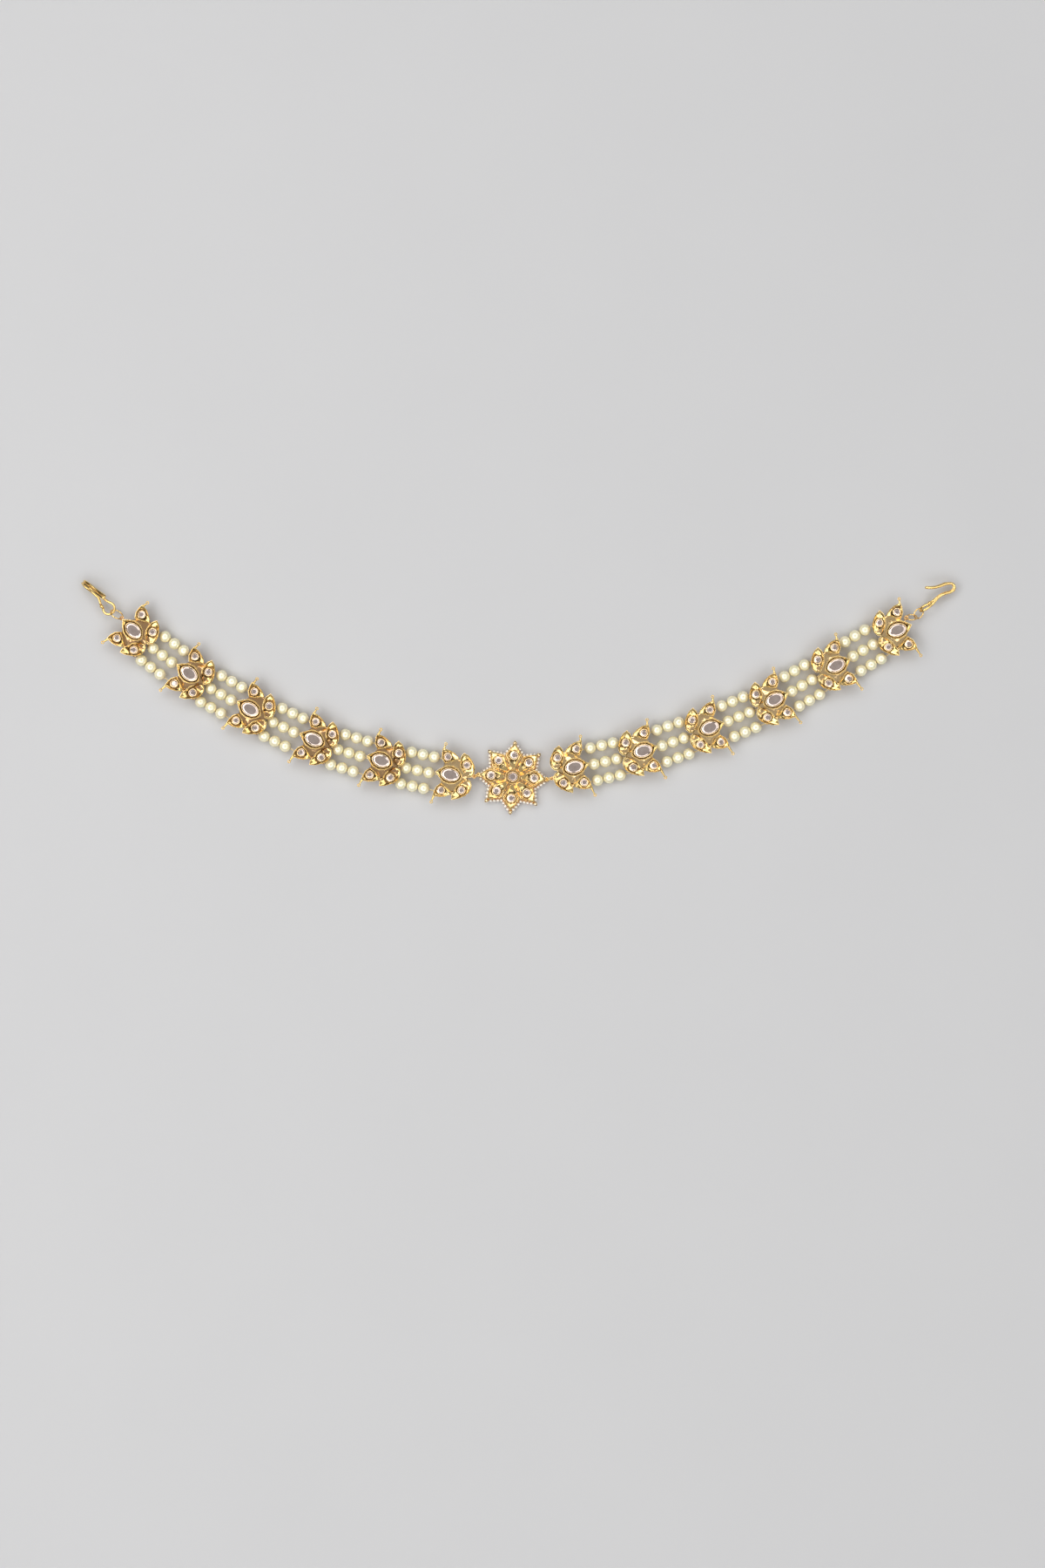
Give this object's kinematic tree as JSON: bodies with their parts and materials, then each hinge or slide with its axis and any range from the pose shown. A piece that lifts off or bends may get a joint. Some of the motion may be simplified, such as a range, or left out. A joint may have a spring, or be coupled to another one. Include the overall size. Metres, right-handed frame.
{
  "type": "matha patti",
  "caption": "Curved hair ornament: gold stone-set flowers on three pearl strings each side of a pearl-edged star, with a wire hook at each end, lying face up.",
  "frame": {"origin": "under the middle of the star's back plate, on the surface that the row lies on", "axes": "+X along the row, towards the end with two links; +Y towards the side where the hooks lie; +Z out of the face"},
  "size_m": [0.3013, 0.0811, 0.0086],
  "materials": {
    "gold": "polished gold plate with dark reflections in the recesses",
    "stone": "clear cut stones over dark foil, smoky grey-brown",
    "pearl": "lustrous cream pearl",
    "seed_pearl": "lustrous white seed pearl",
    "thread": "twisted cream thread"
  },
  "bodies": {
    "root": {"flower_1": "gold", "flower_2": "gold", "flower_3": "gold", "flower_4": "gold", "flower_5": "gold", "flower_6": "gold", "flower_7": "gold", "flower_8": "gold", "flower_9": "gold", "flower_10": "gold", "flower_11": "gold", "flower_12": "gold", "middle_stone_1": "stone", "middle_stone_2": "stone", "middle_stone_3": "stone", "middle_stone_4": "stone", "middle_stone_5": "stone", "middle_stone_6": "stone", "middle_stone_7": "stone", "middle_stone_8": "stone", "middle_stone_9": "stone", "middle_stone_10": "stone", "middle_stone_11": "stone", "middle_stone_12": "stone", "petal_stones_1": "stone", "petal_stones_2": "stone", "petal_stones_3": "stone", "petal_stones_4": "stone", "petal_stones_5": "stone", "petal_stones_6": "stone", "petal_stones_7": "stone", "petal_stones_8": "stone", "petal_stones_9": "stone", "petal_stones_10": "stone", "petal_stones_11": "stone", "petal_stones_12": "stone", "pearls_left_top": "pearl", "pearls_left_middle": "pearl", "pearls_left_bottom": "pearl", "pearls_right_top": "pearl", "pearls_right_middle": "pearl", "pearls_right_bottom": "pearl", "thread_left_top": "thread", "thread_left_middle": "thread", "thread_left_bottom": "thread", "thread_right_top": "thread", "thread_right_middle": "thread", "thread_right_bottom": "thread", "star": "gold", "star_middle_stone": "stone", "star_petal_stones": "stone", "seed_pearl_edging": "seed_pearl", "ring_left": "gold", "ring_right": "gold", "link_left": "gold", "link_right_inner": "gold", "link_right_outer": "gold", "hook_left": "gold", "hook_right": "gold"}
  },
  "joints": []
}
